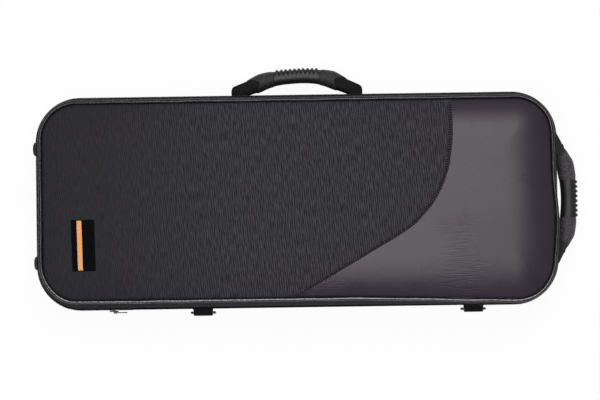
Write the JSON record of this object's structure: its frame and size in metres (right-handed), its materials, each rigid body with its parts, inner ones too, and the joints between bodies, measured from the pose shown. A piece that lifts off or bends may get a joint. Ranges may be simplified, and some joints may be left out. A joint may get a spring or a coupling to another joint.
{
  "type": "alto saxophone case",
  "caption": "Rounded semi-rigid zip case with a padded shell, a folding carrying handle on top, another on one end and an inside shaped for an alto saxophone.",
  "frame": {"origin": "centre of the flat back, on the surface the case lies on", "axes": "+X along the case towards the end handle, +Y across it towards the top handle, +Z out of the front"},
  "size_m": [0.6967, 0.3164, 0.165],
  "materials": {
    "woven_cover": "matte",
    "laminated_shell": "matte",
    "smooth_leatherette": "satin",
    "plush": "matte",
    "vinyl_piping": "satin",
    "zip_tape": "matte",
    "zip_coil": "satin",
    "black_metal": "satin",
    "nickel_steel": "satin",
    "webbing": "matte",
    "grip_rubber": "satin",
    "pad_rubber": "matte",
    "anchor_plastic": "satin",
    "foot_rubber": "matte",
    "label_weave": "matte",
    "label_orange": "matte"
  },
  "bodies": {
    "base": {"base_shell": "laminated_shell", "base_wall_cover": "woven_cover", "back_panel_cover": "woven_cover", "back_piping": "vinyl_piping", "zipper_tape_base": "zip_tape", "zipper_teeth_base": "zip_coil", "hinge_tape_base": "zip_tape", "zipper_end_tabs": "anchor_plastic", "cradle_foam": "plush", "retaining_strap": "webbing", "top_handle_anchors": "anchor_plastic", "top_handle_rivets": "nickel_steel", "end_handle_anchors": "anchor_plastic", "end_handle_rivets": "nickel_steel", "ring_loop_left": "webbing", "ring_loop_right": "webbing", "end_feet": "foot_rubber", "end_foot_screws": "nickel_steel"},
    "lid": {"lid_shell": "laminated_shell", "lid_wall_cover": "woven_cover", "front_fabric_panel": "woven_cover", "front_accent_panel": "smooth_leatherette", "front_piping": "vinyl_piping", "label_patch": "label_weave", "label_stripe": "label_orange", "zipper_tape_lid": "zip_tape", "zipper_teeth_lid": "zip_coil", "hinge_tape_lid": "zip_tape", "lid_liner": "plush", "lid_pressure_pad": "plush"},
    "zip_slider_body": {"zip_slider": "black_metal"},
    "zip_pull_body": {"zip_pull": "black_metal"},
    "top_handle_body": {"top_handle_core": "webbing", "top_handle_grip": "grip_rubber", "top_handle_pads": "pad_rubber", "top_handle_collars": "grip_rubber", "top_handle_sleeve_a": "webbing", "top_handle_sleeve_b": "webbing"},
    "end_handle_body": {"end_handle_core": "webbing", "end_handle_grip": "grip_rubber", "end_handle_pads": "pad_rubber", "end_handle_collars": "grip_rubber", "end_handle_sleeve_a": "webbing", "end_handle_sleeve_b": "webbing"},
    "strap_ring_left_body": {"strap_ring_left": "nickel_steel"},
    "strap_ring_right_body": {"strap_ring_right": "nickel_steel"}
  },
  "joints": [
    {"name": "lid_hinge", "type": "hinge", "parent": "base", "child": "lid", "pos_m": [0, -0.1352, 0.095], "axis": [1, 0, 0], "range_deg": [0, 160]},
    {"name": "zip_slide", "type": "slide", "parent": "base", "child": "zip_slider_body", "axis": [-1, 0, 0], "range_m": [0, 0.034]},
    {"name": "pull_swing", "type": "hinge", "parent": "zip_slider_body", "child": "zip_pull_body", "pos_m": [-0.2315, -0.1377, 0.095], "axis": [0, 0, -1], "range_deg": [0, 175]},
    {"name": "top_handle_fold", "type": "hinge", "parent": "base", "child": "top_handle_body", "pos_m": [0.002, 0.13424, 0.04942], "axis": [1, 0, 0], "range_deg": [-50, 50]},
    {"name": "end_handle_fold", "type": "hinge", "parent": "base", "child": "end_handle_body", "pos_m": [0.32924, 0, 0.04942], "axis": [0, -1, 0], "range_deg": [-50, 50]},
    {"name": "ring_swing_left", "type": "hinge", "parent": "base", "child": "strap_ring_left_body", "pos_m": [-0.122, -0.13936, 0.0408], "axis": [-1, 0, 0], "range_deg": [-20, 175]},
    {"name": "ring_swing_right", "type": "hinge", "parent": "base", "child": "strap_ring_right_body", "pos_m": [0.224, -0.13936, 0.0408], "axis": [-1, 0, 0], "range_deg": [-20, 175]}
  ]
}
